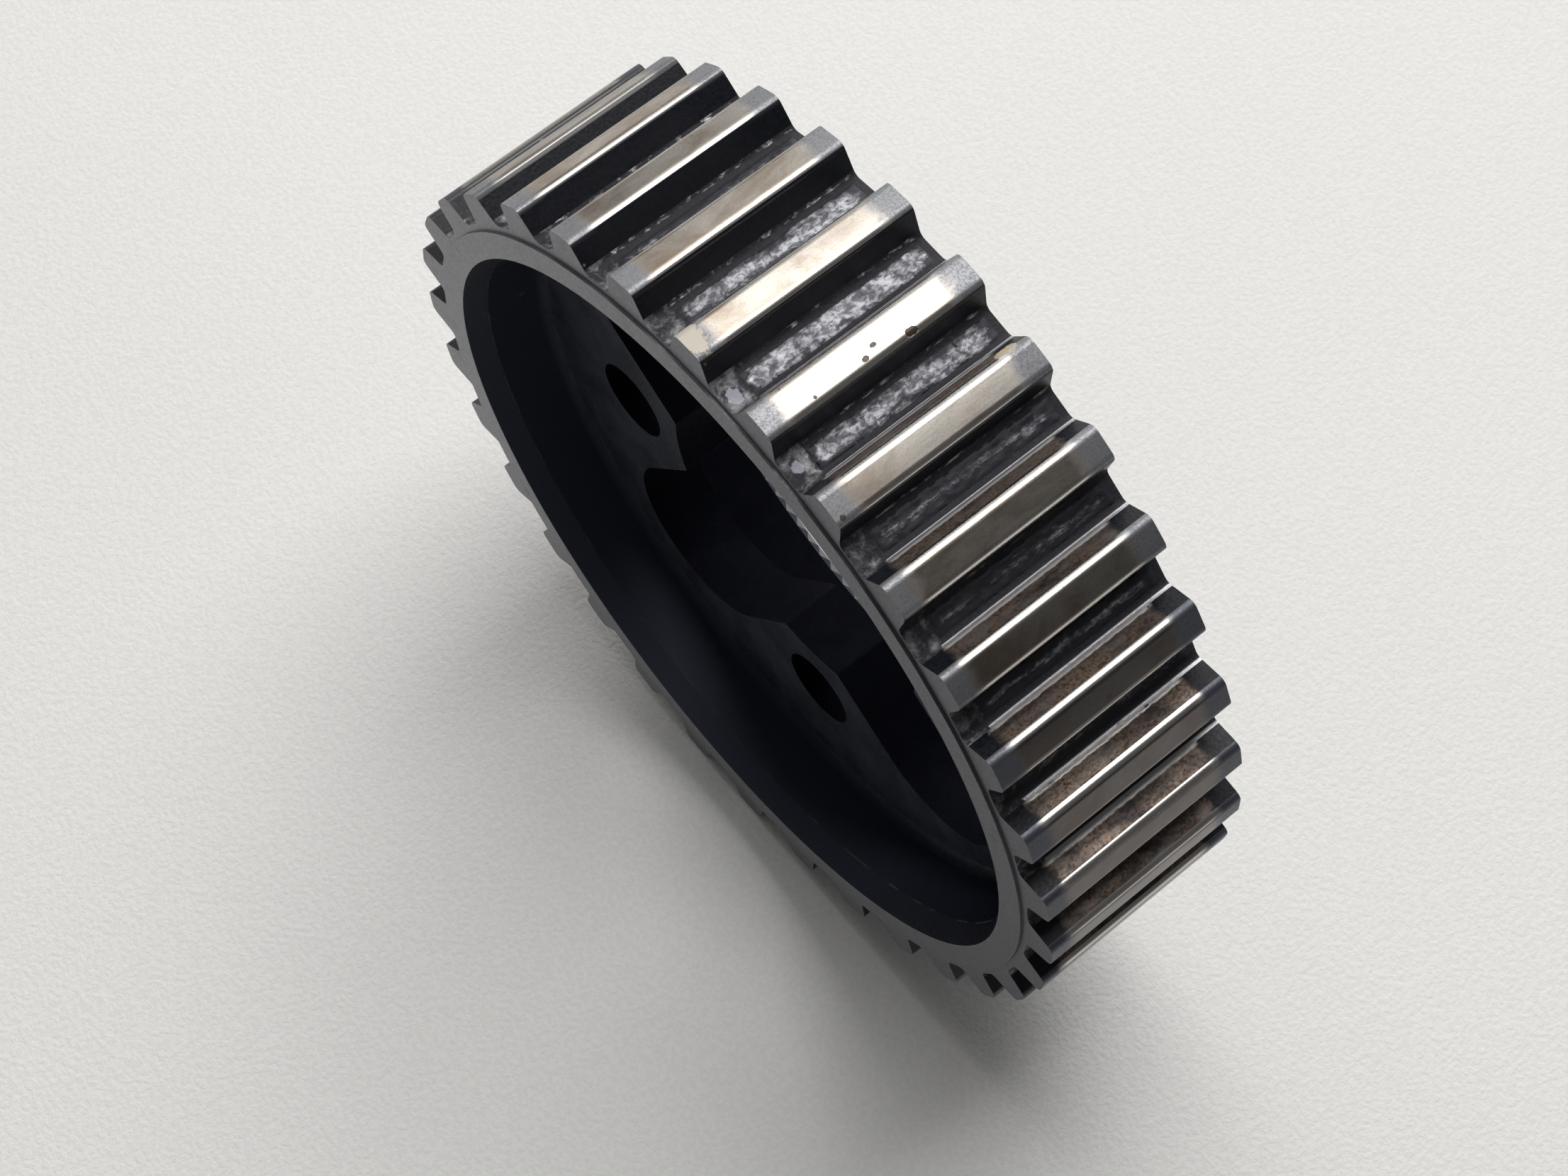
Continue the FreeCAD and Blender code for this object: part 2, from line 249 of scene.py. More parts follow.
class Wiring:
    """Adds nodes to one tree and joins their sockets."""

    def __init__(self, tree):
        self.tree = tree
        self.count = 0

    def node(self, kind, inputs=None, **settings):
        """One node with its settings, its plain values and its links."""
        node = self.tree.nodes.new(kind)
        column, row = divmod(self.count, NODES_PER_COLUMN)
        node.location = (NODE_WIDTH * column, -NODE_HEIGHT * row)
        self.count += 1
        for name, value in settings.items():
            setattr(node, name, value)
        for name, value in (inputs or {}).items():
            self.feed(node.inputs[name], value)
        return node

    def feed(self, socket, value):
        """Joins a socket to another one, or sets its plain value."""
        if isinstance(value, NodeSocket):
            self.tree.links.new(value, socket)
        elif socket.type == "RGBA":
            socket.default_value = (*tuple(value)[:3], 1.0)
        else:
            socket.default_value = value

    def math(self, operation, *values):
        """One sum on numbers or sockets."""
        node = self.node("ShaderNodeMath", operation=operation)
        for socket, value in zip(node.inputs, values):
            self.feed(socket, value)
        return node.outputs[0]

    def plus(self, first, second):
        """The sum of two values."""
        return self.math("ADD", first, second)

    def minus(self, first, second):
        """The first value less the second."""
        return self.math("SUBTRACT", first, second)

    def either(self, first, second):
        """The larger of two masks."""
        return self.math("MAXIMUM", first, second)

    def times(self, product, *factors):
        """The product of several values."""
        for factor in factors:
            product = self.math("MULTIPLY", product, factor)
        return product

    def weigh(self, *parts):
        """Several patterns added up, each by its own weight."""
        total = None
        for pattern, weight in parts:
            part = self.times(pattern, weight)
            total = part if total is None else self.plus(total, part)
        return total

    def rise(self, value, low, high):
        """Goes softly from 0 at low to 1 at high."""
        node = self.node("ShaderNodeMapRange", {"Value": value, "From Min": low,
                                                "From Max": high},
                         interpolation_type="SMOOTHSTEP")
        return node.outputs["Result"]

    def fall(self, value, low, high):
        """Goes softly from 1 at low to 0 at high."""
        return self.minus(1.0, self.rise(value, low, high))

    def step(self, value, level, softness):
        """Goes softly from 0 to 1 where a value passes a level."""
        return self.rise(value, self.minus(level, softness), self.plus(level, softness))

    def swing(self, noise, reach):
        """Noise that swings about zero, drawn out to a given reach."""
        return self.times(self.minus(noise, 0.5), reach)

    def spread(self, factor, low, high):
        """A number between low and high."""
        node = self.node("ShaderNodeMix", {0: factor, 2: low, 3: high}, data_type="FLOAT")
        return node.outputs[0]

    def tint(self, factor, first, second, most=1.0):
        """A colour between two others, with a given share of the second at most."""
        if most < 1.0:
            factor = self.times(factor, most)
        node = self.node("ShaderNodeMix", {0: factor, 6: first, 7: second},
                         data_type="RGBA")
        return node.outputs[2]

    def noise(self, place, size, detail=3.0, roughness=0.55, distortion=0.0):
        """Noise whose lumps are about size millimetres wide, from 0 to 1."""
        linked = isinstance(size, NodeSocket)
        scale = self.math("DIVIDE", 1.0, size) if linked else 1.0 / size
        node = self.node("ShaderNodeTexNoise", {"Vector": place, "Scale": scale,
                                                "Detail": detail, "Roughness": roughness,
                                                "Distortion": distortion})
        return node.outputs["Fac"]

    def split(self, vector):
        """X, Y and Z of a vector."""
        return self.node("ShaderNodeSeparateXYZ", {"Vector": vector}).outputs

    def reach(self, vector):
        """How long a vector is."""
        node = self.node("ShaderNodeVectorMath", {0: vector}, operation="LENGTH")
        return node.outputs["Value"]

    def stretch(self, place, factors, shift=(0.0, 0.0, 0.0)):
        """The place, drawn out along its axes and moved."""
        node = self.node("ShaderNodeVectorMath", {0: place, 1: factors, 2: shift},
                         operation="MULTIPLY_ADD")
        return node.outputs[0]

    def along(self, place, squeeze):
        """The place, squeezed along the teeth, so that patterns are drawn out there."""
        return self.stretch(place, (1.0, 1.0, squeeze))

    def millimetres(self):
        """The place in the object's own coordinates, in millimetres."""
        own = self.node("ShaderNodeTexCoord").outputs["Object"]
        return self.stretch(own, (1 / MM, 1 / MM, 1 / MM))

    def effect(self, name, **inputs):
        """Places a shared effect and gives back its output sockets."""
        node = self.node("ShaderNodeGroup", node_tree=bpy.data.node_groups[name])
        for key, value in inputs.items():
            self.feed(node.inputs[key.replace("_", " ").capitalize()], value)
        return node.outputs

    def principled(self, inputs, height, strength=1.0):
        """The surface shader, with a relief whose heights are in millimetres."""
        bump = self.node("ShaderNodeBump", {"Strength": strength, "Distance": MM,
                                            "Height": height})
        return self.node("ShaderNodeBsdfPrincipled",
                         {**inputs, "Normal": bump.outputs["Normal"]})

    def close(self, shader, kind="Material"):
        """Joins the last shader to the tree's output."""
        self.node(f"ShaderNodeOutput{kind}", {"Surface": shader.outputs[0]})


def new_material(name):
    """A material without any nodes."""
    material = bpy.data.materials.new(name)
    material.use_nodes = True
    material.node_tree.nodes.clear()
    return material


# ---------------- shared effects

VECTOR_SOCKETS = ("Place", "Spot")
SPECKLE_LEVELS = (0.38, 0.66)  # noise at which the speckle starts and is whole
STREAK_LEVELS = (0.36, 0.66)
STREAK_SQUEEZE = 0.09          # how far the streaks are drawn out along the teeth
COVER_LEVELS = (0.72, 0.28)    # noise above which patches cover nothing and all
NOISE_SWINGS = 4.0             # a noise's common swing goes this often into its range
POCK_REACH = 0.7               # a pit's radius as a share of its rolled size
LINE_CORE = 0.25               # share of a line's width that is whole
SPOT_RAGGED = 1.6              # how far a spot's rim wanders, in parts of its reach
SPOT_RIM = (0.85, 1.05)        # where a spot starts to fade and is gone


def new_effect(name, inputs, outputs):
    """An empty shader group with named inputs and outputs, and its wiring."""
    group = bpy.data.node_groups.new(name, "ShaderNodeTree")
    for way, labels in (("INPUT", inputs), ("OUTPUT", outputs)):
        for label in labels:
            kind = "NodeSocketVector" if label in VECTOR_SOCKETS else "NodeSocketFloat"
            socket = group.interface.new_socket(label, in_out=way, socket_type=kind)
            if way == "INPUT" and label not in VECTOR_SOCKETS:
                socket.default_value = inputs[label]
    wiring = Wiring(group)
    return wiring, wiring.node("NodeGroupInput").outputs, wiring.node("NodeGroupOutput").inputs


def make_gear_place(sizes):
    """Place in millimetres, and where it lies on the gear and on its tooth."""
    w, _, out = new_effect("gear_place", {},
                           ("Place", "Radius", "Height", "Across", "Tooth"))
    place = w.millimetres()
    split = w.split(place)
    radius = w.reach(w.stretch(place, (1.0, 1.0, 0.0)))
    angle = w.math("ARCTAN2", split["Y"], split["X"])
    turn = w.times(angle, sizes.teeth / (2 * math.pi))
    offset = w.minus(w.math("FRACT", turn), 0.5)
    arc = w.times(radius, 2 * math.pi / sizes.teeth)
    w.feed(out["Place"], place)
    w.feed(out["Radius"], radius)
    w.feed(out["Height"], split["Z"])
    w.feed(out["Across"], w.times(offset, arc))
    w.feed(out["Tooth"], w.math("FLOOR", turn))


def make_facing():
    """1 on the part of the rim round one turn of the gear, 0 further away from it."""
    w, given, out = new_effect("facing", {"Place": None, "Turn": 0.0, "Full": 0.5,
                                          "Gone": 1.0}, ("Share",))
    split = w.split(given["Place"])
    angle = w.math("ARCTAN2", split["Y"], split["X"])
    away = w.math("WRAP", w.minus(angle, given["Turn"]), math.pi, -math.pi)
    w.feed(out["Share"], w.fall(w.math("ABSOLUTE", away), given["Full"], given["Gone"]))


def make_steel_grain():
    """Fine speckle of the steel, and streaks that run along the teeth."""
    w, given, out = new_effect("steel_grain", {"Place": None, "Size": 0.3},
                               ("Speckle", "Streak"))
    fine = w.noise(given["Place"], given["Size"], detail=4.0, roughness=0.65)
    lines = w.noise(w.along(given["Place"], STREAK_SQUEEZE), given["Size"], roughness=0.6)
    w.feed(out["Speckle"], w.rise(fine, *SPECKLE_LEVELS))
    w.feed(out["Streak"], w.rise(lines, *STREAK_LEVELS))


def make_belt_track():
    """1 where the belt has run, with a soft edge that wanders."""
    w, given, out = new_effect("belt_track", {
        "Place": None, "Height": 0.0, "Near edge": 21.1, "Far edge": 2.9, "Wobble": 0.4,
        "Softness": 0.25}, ("Track",))
    wander = w.noise(given["Place"], 1.6, detail=2.5, roughness=0.6)
    shift = w.times(w.swing(wander, given["Wobble"]), NOISE_SWINGS)
    height = w.plus(given["Height"], shift)
    far = w.step(height, given["Far edge"], given["Softness"])
    near = w.step(height, given["Near edge"], given["Softness"])
    w.feed(out["Track"], w.times(far, w.minus(1.0, near)))


def make_patchy_cover():
    """Irregular patches that cover a given share of the surface."""
    w, given, out = new_effect("patchy_cover", {"Place": None, "Size": 2.0, "Amount": 0.5,
                                                "Edge": 0.12}, ("Cover",))
    patches = w.noise(given["Place"], given["Size"], detail=5.0, roughness=0.62,
                      distortion=0.4)
    level = w.spread(given["Amount"], *COVER_LEVELS)
    w.feed(out["Cover"], w.step(patches, level, given["Edge"]))


def make_pock_marks():
    """Sparse small pits, each with a ragged rim."""
    w, given, out = new_effect("pock_marks", {"Place": None, "Spacing": 2.0,
                                              "Share": 0.15, "Size": 0.18}, ("Mark",))
    ragged = w.noise(given["Place"], 0.35, detail=2.0)
    scale = w.math("DIVIDE", 1.0, given["Spacing"])
    cells = w.node("ShaderNodeTexVoronoi", {"Vector": given["Place"],
                                            "Scale": scale}).outputs
    roll = w.node("ShaderNodeSeparateColor", {"Color": cells["Color"]}).outputs
    chosen = w.math("LESS_THAN", roll["Red"], given["Share"])
    reach = w.times(given["Size"], w.plus(roll["Green"], ragged), POCK_REACH)
    w.feed(out["Mark"], w.times(chosen, w.math("LESS_THAN", cells["Distance"], reach)))


def make_ragged_line():
    """A thin broken line where a measure passes a given level."""
    w, given, out = new_effect("ragged_line", {
        "Place": None, "Measure": 0.0, "Level": 0.0, "Width": 0.15, "Amount": 0.6},
        ("Line",))
    ragged = w.noise(given["Place"], 0.8, detail=4.0, roughness=0.65)
    away = w.plus(w.minus(given["Measure"], given["Level"]),
                  w.swing(ragged, given["Width"]))
    line = w.fall(w.math("ABSOLUTE", away), w.times(given["Width"], LINE_CORE),
                  given["Width"])
    broken = w.effect("patchy_cover", Place=given["Place"], Size=4.0,
                      Amount=given["Amount"], Edge=0.08)["Cover"]
    w.feed(out["Line"], w.times(line, broken))


def make_worn_spot():
    """One ragged spot at a given place, drawn out along the tooth."""
    w, given, out = new_effect("worn_spot", {"Place": None, "Spot": None, "Reach": 1.0,
                                             "Length": 1.0}, ("Mark",))
    gap = w.node("ShaderNodeVectorMath", {0: given["Place"], 1: given["Spot"]},
                 operation="SUBTRACT").outputs[0]
    squeeze = w.node("ShaderNodeCombineXYZ", {"X": 1.0, "Y": 1.0,
                                              "Z": w.math("DIVIDE", 1.0, given["Length"])})
    away = w.reach(w.stretch(gap, squeeze.outputs[0]))
    ragged = w.noise(given["Place"], 0.7, detail=4.0, roughness=0.7)
    away = w.plus(w.math("DIVIDE", away, given["Reach"]), w.swing(ragged, SPOT_RAGGED))
    w.feed(out["Mark"], w.fall(away, *SPOT_RIM))


def make_effects(sizes):
    """Builds every shared effect once."""
    make_gear_place(sizes)
    for make in (make_facing, make_steel_grain, make_belt_track, make_patchy_cover,
                 make_pock_marks, make_ragged_line, make_worn_spot):
        make()


# ---------------- finishes

LAND, FLANK, LOW_FLANK, GAP = 47.8, 47.4, 46.9, 44.5    # radii in millimetres


def on_gear(pitches, radius, across, height):
    """A place in millimetres, near a spot so many tooth pitches round from the X axis."""
    angle = math.radians(pitches * 360 / TEETH)
    return (radius * math.cos(angle) - across * math.sin(angle),
            radius * math.sin(angle) + across * math.cos(angle), height)


# Each spot is a place, its reach in millimetres and how far it is drawn out.
NICKS = ((on_gear(-1.5, LAND, -1.4, 7.9), 0.42, 1.6),
         (on_gear(-1.5, LAND, -0.3, 11.3), 0.22, 1.4),
         (on_gear(-1.5, LAND, -0.9, 12.6), 0.26, 1.3),
         (on_gear(-1.5, LAND, -1.0, 18.2), 0.16, 1.0),
         (on_gear(-2.5, LAND, -1.1, 22.9), 0.26, 1.0))
TAN_SPOTS = ((on_gear(-0.5, FLANK, 0.5, 22.8), 2.2, 0.6),
             (on_gear(-2.5, LOW_FLANK, 2.0, 2.2), 0.9, 1.3))
PALE_SPOTS = ((on_gear(-1, GAP, -0.2, 22.4), 0.9, 0.75),
              (on_gear(-2, GAP, 0.3, 22.3), 0.6, 0.9))


class Finish(Wiring):
    """A new material on the gear, with the shared effects laid at its place."""

    def __init__(self, name):
        self.material = new_material(name)
        super().__init__(self.material.node_tree)
        self.at = self.effect("gear_place")

    def done(self, base, rough, relief, metal=0.0, sheen=0.5):
        """Ends the material with its surface shader."""
        self.close(self.principled({"Base Color": base, "Metallic": metal,
                                    "Roughness": rough, "Specular IOR Level": sheen},
                                   relief))
        return self.material

    def lay(self, name, output, **inputs):
        """One output of a shared effect, laid at the gear's place or at a given one."""
        return self.effect(name, **{"Place": self.at["Place"], **inputs})[output]

    def grain(self, size):
        """Speckle and streaks of the steel."""
        return self.effect("steel_grain", Place=self.at["Place"], Size=size)

    def cover(self, size, amount, edge, place=None):
        """Irregular patches."""
        return self.lay("patchy_cover", "Cover", Place=place or self.at["Place"],
                        Size=size, Amount=amount, Edge=edge)

    def pocks(self, spacing, share, size):
        """Sparse small pits."""
        return self.lay("pock_marks", "Mark", Spacing=spacing, Share=share, Size=size)

    def line(self, measure, level, width, amount):
        """A thin broken line."""
        return self.lay("ragged_line", "Line", Measure=measure, Level=level, Width=width,
                        Amount=amount)

    def facing(self, turn, full, gone):
        """One side of the gear, whole and gone so many degrees away from a turn."""
        return self.lay("facing", "Share", Turn=turn, Full=math.radians(full),
                        Gone=math.radians(gone))

    def track(self, wear, softness):
        """The belt track."""
        return self.lay("belt_track", "Track", Height=self.at["Height"],
                        Near_edge=wear.track_near / MM, Far_edge=wear.track_far / MM,
                        Wobble=wear.track_wobble / MM, Softness=softness)

    def spots(self, spots):
        """Several worn spots in one mask."""
        mask = None
        for spot, reach, long in spots:
            mark = self.lay("worn_spot", "Mark", Spot=spot, Reach=reach, Length=long)
            mask = mark if mask is None else self.either(mask, mark)
        return mask

    def from_gap(self, sizes):
        """Distance from the middle of a gap along its floor, in millimetres."""
        half_pitch = math.pi * sizes.root_radius / MM / sizes.teeth
        return self.minus(half_pitch, self.math("ABSOLUTE", self.at["Across"]))


def make_polished_tip(colours, wear, sizes):
    """Tooth lands: bare and brown in the belt track, dull grey beside it; painted bright round
    the highlight turn under the lamps and painted dark away from it, with painted shade low on
    one side of each tip rounding.
    """
    w = Finish("polished_tip")
    grain = w.grain(size=0.20)
    speckle, streak = grain["Speckle"], grain["Streak"]
    track = w.track(wear, softness=0.9)
    tip = sizes.tip_radius / MM
    edge_foot, edge_head = tip - 0.10, tip - 0.02
    shade_foot, shade_head = tip - 0.30, tip - 0.24
    edge = w.fall(w.at["Radius"], edge_foot, edge_head)
    # painted shade: the lower part of the tip rounding on the negative Across side of each
    # tooth is painted black and not metallic, where no highlight falls
    under = w.times(w.fall(w.at["Radius"], shade_foot, shade_head),
                    w.fall(w.at["Across"], -0.2, 0.2))
    # painted light: the lands round the highlight turn are left bare and bright, the rest get
    # painted shade
    lit = w.facing(wear.highlight_turn, full=34.0, gone=58.0)
    tone = w.node("ShaderNodeTexWhiteNoise", {"W": w.at["Tooth"]},
                  noise_dimensions="1D").outputs["Value"]
    brown_start, brown_full = 12.0, 21.0
    near_end = w.rise(w.at["Height"], brown_start, brown_full)
    amount = w.plus(w.times(w.spread(tone, 0.45, 1.1), wear.stain), w.times(near_end, 0.22))
    stain = w.cover(size=3.5, amount=amount, edge=0.2, place=w.along(w.at["Place"], 0.6))
    pits = w.either(w.pocks(spacing=2.2, share=0.05, size=0.16), w.spots(NICKS))
    tan = w.spots(TAN_SPOTS)
    bare = w.tint(stain, colours.polished, colours.stain, most=0.75)
    bare = w.tint(speckle, bare, colours.speck, most=0.5 * wear.speckle)
    bare = w.tint(edge, bare, colours.edge, most=0.8)
    # painted shade on the lands away from the lit side, weaker on the tip roundings
    painted_shade = w.times(w.spread(lit, 0.82, 0.0), w.spread(edge, 1.0, 0.15))
    bare = w.tint(painted_shade, bare, colours.painted_shade)
    # dull ends painted lighter on the lit side and darker away from it
    dull = w.tint(lit, colours.dull_shaded, colours.dull)
    dull = w.tint(speckle, dull, colours.dull_speck, most=0.45)
    base = w.tint(track, dull, bare)
    base = w.tint(tan, base, colours.tan)
    base = w.tint(pits, base, colours.pit)
    # painted shade low on that tip rounding
    base = w.tint(under, base, colours.oiled)
    metal = w.minus(w.spread(track, 0.6, 1.0), w.times(pits, 0.8))
    metal = w.times(metal, w.spread(tan, 1.0, 0.4), w.spread(under, 1.0, 0.0))
    gloss = w.spread(edge, w.spread(streak, 0.29, 0.315), 0.23)
    rough = w.spread(track, w.spread(speckle, 0.40, 0.50), gloss)
    rough = w.spread(tan, rough, 0.5)
    relief = w.weigh((streak, 0.0004), (speckle, 0.0010), (pits, -0.08), (tan, 0.03))
    return w.done(base, rough, relief, metal=metal)


def make_oiled_flank(colours, wear, sizes):
    """Tooth sides: black and oily, rubbed brown on the side that drives the belt, with a bare
    line at that side's foot painted near white as a highlight.
    """
    w = Finish("oiled_flank")
    speckle = w.grain(size=0.35)["Speckle"]
    track = w.track(wear, softness=0.5)
    radius, foot = w.at["Radius"], sizes.root_head / MM
    band_foot, band_head, line_level = foot - 0.2, foot + 0.35, foot + 0.10
    tan_foot, tan_head = foot + 0.4, foot + 0.7
    driven = w.rise(w.at["Across"], 0.4, 0.8)
    high = w.rise(radius, band_foot, band_head)
    drawn = w.along(w.at["Place"], 0.5)
    moved = w.stretch(drawn, (1.0, 1.0, 1.0), (7.0, 3.0, 5.0))
    patch = w.cover(size=2.4, amount=wear.flank_wear, edge=0.22, place=drawn)
    grey = w.cover(size=1.6, amount=0.42, edge=0.12, place=moved)
    rubbed = w.times(driven, high, track, patch)
    # bare rubbed line at the driven flank's foot, painted near white as a highlight
    line = w.line(radius, level=line_level, width=0.34, amount=0.86)
    line = w.times(line, driven, track)
    tan = w.times(w.spots(TAN_SPOTS), w.rise(radius, tan_foot, tan_head))
    flecks = w.pocks(spacing=2.6, share=0.07, size=0.14)
    oil = w.tint(speckle, colours.oiled, colours.oil_speck, most=0.6)
    wear_and_shade = w.tint(speckle, colours.rubbed, colours.rubbed_speck)
    wear_and_shade = w.tint(grey, wear_and_shade, colours.rubbed_grey, most=0.6)
    base = w.tint(rubbed, oil, wear_and_shade)
    base = w.tint(line, base, colours.foot_highlight, most=0.95)
    base = w.tint(tan, base, colours.flank_tan)
    base = w.tint(flecks, base, colours.flank_fleck)
    metal = w.times(w.either(rubbed, line), 0.7)
    rough = w.spread(rubbed, w.spread(speckle, 0.32, 0.46), 0.40)
    relief = w.weigh((speckle, 0.008), (w.either(flecks, line), 0.03))
    return w.done(base, rough, relief, metal=metal, sheen=0.22)


def make_crusted_root(colours, wear, sizes):
    """Floor of the gaps: dark and rough, its roundings rubbed bright in ragged lines."""
    w = Finish("crusted_root")
    place, near_edge = w.at["Place"], wear.track_near / MM
    wander = w.noise(place, 1.3, detail=4.0, roughness=0.65)
    height = w.plus(w.at["Height"], w.swing(wander, reach=2.2))
    clean = w.rise(height, near_edge - 0.3, near_edge + 0.1)
    driven = w.rise(w.at["Across"], 0.0, 0.5)
    ragged = w.cover(size=0.9, amount=w.spread(driven, 0.30, 0.95), edge=0.08,
                     place=w.along(place, 0.6))
    bend_foot, bend_head = 1.58, 1.68
    rubbed = w.times(w.rise(w.from_gap(sizes), bend_foot, bend_head), ragged)
    swept = w.times(w.cover(size=1.5, amount=0.34, edge=0.14), 0.6)
    bright = w.spread(clean, rubbed, swept)
    lumps = w.noise(place, 0.5, detail=5.0, roughness=0.7)
    base = w.tint(w.rise(lumps, 0.5, 0.68), colours.root, colours.root_lump, most=0.5)
    base = w.tint(bright, base, colours.clean_root)
    base = w.tint(w.spots(PALE_SPOTS), base, colours.pale_spot)
    metal = w.spread(bright, 0.25, 0.85)
    rough = w.spread(bright, w.spread(lumps, 0.52, 0.68), 0.42)
    relief = w.times(lumps, w.spread(bright, 0.16, 0.05))
    return w.done(base, rough, relief, metal=metal)


def make_end_face(colours, wear):
    """Face ring, tooth ends and back rim: matt grey with a fine speckle, painted darker away
    from one side of the rim as painted shade.
    """
    w = Finish("end_face")
    speckle = w.grain(size=0.30)["Speckle"]
    cloud = w.cover(size=9.0, amount=0.5, edge=0.3)
    oil = w.cover(size=3.0, amount=0.2, edge=0.1)
    # painted shade: the end faces darken away from the lit ring turn
    dry_and_lit = w.facing(wear.lit_ring_turn, full=30.0, gone=170.0)
    base = w.tint(cloud, colours.end_face, colours.end_cloud, most=0.35)
    base = w.tint(speckle, base, colours.end_speck, most=0.45)
    base = w.tint(oil, base, colours.end_oil, most=0.4)
    base = w.tint(w.spread(dry_and_lit, 0.62, 0.0), base, colours.end_shaded)
    rough = w.spread(speckle, 0.38, 0.50)
    return w.done(base, rough, w.times(speckle, 0.008), metal=0.6)


def make_dark_cup(colours, wear, sizes):
    """Inside of the cup: black oily steel, a little paler web, one side of the wall painted
    paler as light, thin lines painted as glints along two edges, and bare flecks.
    """
    w = Finish("dark_cup")
    speckle = w.grain(size=0.45)["Speckle"]
    front, corner_radius = sizes.web_front / MM, 0.7
    floor_end, wall_start = front + 0.1, front + 0.6
    wall_foot = sizes.cup_radius / MM - corner_radius
    low = w.fall(w.at["Height"], floor_end, wall_start)
    cloud = w.cover(size=6.0, amount=0.55, edge=0.25)
    # painted light: the wall is paler round the lit wall turn
    lit_wall = w.facing(wear.lit_wall_turn, full=20.0, gone=120.0)
    wall = w.tint(speckle, colours.cup, colours.cup_speck, most=0.4)
    wall = w.tint(lit_wall, wall, colours.cup_lit)
    web = w.tint(cloud, colours.web, colours.cup, most=0.6)
    base = w.tint(low, wall, web)
    # thin lines painted as glints along the foot of the mouth taper and the foot of the wall
    mouth = w.line(w.at["Height"], level=sizes.mouth_foot / MM, width=0.12, amount=0.35)
    foot = w.line(w.at["Radius"], level=wall_foot, width=0.12, amount=0.45)
    flecks = w.pocks(spacing=4.0, share=0.06, size=0.11)
    lines = w.either(w.either(mouth, foot), flecks)
    base = w.tint(lines, base, colours.glint_and_fleck, most=0.7)
    rough = w.spread(w.times(speckle, cloud), 0.38, 0.58)
    relief = w.weigh((speckle, 0.012), (lines, 0.02))
    return w.done(base, rough, relief, sheen=0.03)


def make_black_bore(colours):
    """Walls of the windows, the holes and the back recess: black and dull with oil, painted
    near black as the shade in these recesses.
    """
    w = Finish("black_bore")
    speckle = w.grain(size=0.5)["Speckle"]
    cloud = w.cover(size=4.0, amount=0.4, edge=0.25)
    base = w.tint(cloud, colours.bore_oil_and_shade, colours.bore_cloud, most=0.7)
    rough = w.spread(speckle, 0.58, 0.72)
    return w.done(base, rough, w.times(speckle, 0.015), sheen=0.02)


def make_dried_grime(values, sizes):
    """Dried grime: a pale, cloudy crust, full and palest in the gap under the lamps as painted
    glints, and broken up in the others.
    """
    w = Finish("dried_grime")
    place, height = w.at["Place"], w.at["Height"]
    # painted glints: fuller, paler crust in the gap under the lamps
    full = w.facing(values.lit_gap_turn, full=3.0, gone=26.0)
    drawn = w.along(place, 0.75)
    lumps = w.noise(drawn, 0.5, detail=5.0, roughness=0.62, distortion=0.6)
    clouds = w.noise(drawn, 2.0, detail=4.0, roughness=0.65)
    streaks = w.noise(w.along(place, 0.22), 0.75, detail=5.0, roughness=0.62)
    start, end = values.start / MM, values.end / MM
    start_fade, end_fade, middle_width = 1.5, 1.0, 0.66
    inside = w.times(w.rise(height, start, start + start_fade),
                     w.fall(height, end - end_fade, end))
    middle = w.minus(middle_width, w.from_gap(sizes))
    level = w.plus(streaks, w.times(middle, 0.30))
    level = w.plus(level, w.spread(full, -0.22, 0.14))
    level = w.minus(level, w.spread(inside, 0.35, 0.0))
    level = w.plus(level, w.swing(lumps, reach=0.22))
    cover = w.rise(level, 0.38, 0.66)
    # pale crust tops, raised towards full in the gap under the lamps as painted glints
    dry_and_lit = w.times(w.spread(w.rise(lumps, 0.40, 0.60), 0.30, 1.0),
                  w.spread(w.rise(clouds, 0.34, 0.62), 0.36, 1.0),
                  cover, w.spread(full, 0.6, 1.0))
    base = w.tint(dry_and_lit, values.dark, values.pale)
    relief = w.times(lumps, w.spread(cover, 0.06, 0.20))
    return w.done(base, 0.55, relief, metal=0.15)


# ---------------- the gear

SLACK = 0.1 * MM        # how far a face's middle may lie from its surface
BACK_EDGE = 0.3 * MM    # faces lower than this belong to the back rim


def surface_of(centre, normal, sizes):
    """Names the finish of one face of the gear by its place and direction."""
    radius = math.hypot(centre.x, centre.y)
    if abs(normal.z) > 0.5:
        on_rim = centre.z > sizes.tooth_end - SLACK or centre.z < BACK_EDGE
        return "end_face" if on_rim else "dark_cup"
    if radius < sizes.ring_radius - SLACK:
        return "dark_cup" if centre.z > sizes.web_front - SLACK else "black_bore"
    if radius < sizes.ring_radius + SLACK:
        return "end_face"
    if radius > sizes.tip_foot:
        return "polished_tip"
    return "oiled_flank" if radius > sizes.root_head else "crusted_root"


def finish_gear(context):
    """Gives each face of the gear its own finish."""
    scene = context.scene
    sizes, wear, colours = scene.gear_sizes, scene.gear_wear, scene.gear_colours
    make_effects(sizes)
    finishes = [make_polished_tip(colours, wear, sizes),
                make_oiled_flank(colours, wear, sizes),
                make_crusted_root(colours, wear, sizes), make_end_face(colours, wear),
                make_dark_cup(colours, wear, sizes), make_black_bore(colours)]
    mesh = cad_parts[GEAR].data
    mesh.materials.clear()
    for material in finishes:
        mesh.materials.append(material)
    order = {material.name: index for index, material in enumerate(finishes)}
    for face in mesh.polygons:
        face.material_index = order[surface_of(face.center, face.normal, sizes)]


class PUMPGEAR_OT_finish_gear(Operator):
    """Gives the gear its polished, oiled and grey finishes"""

    bl_idname = "pump_gear.finish_gear"
    bl_label = "Finish gear"
    bl_options = {"REGISTER", "UNDO"}

    def execute(self, context):
        finish_gear(context)
        return {"FINISHED"}


# ---------------- dried grime

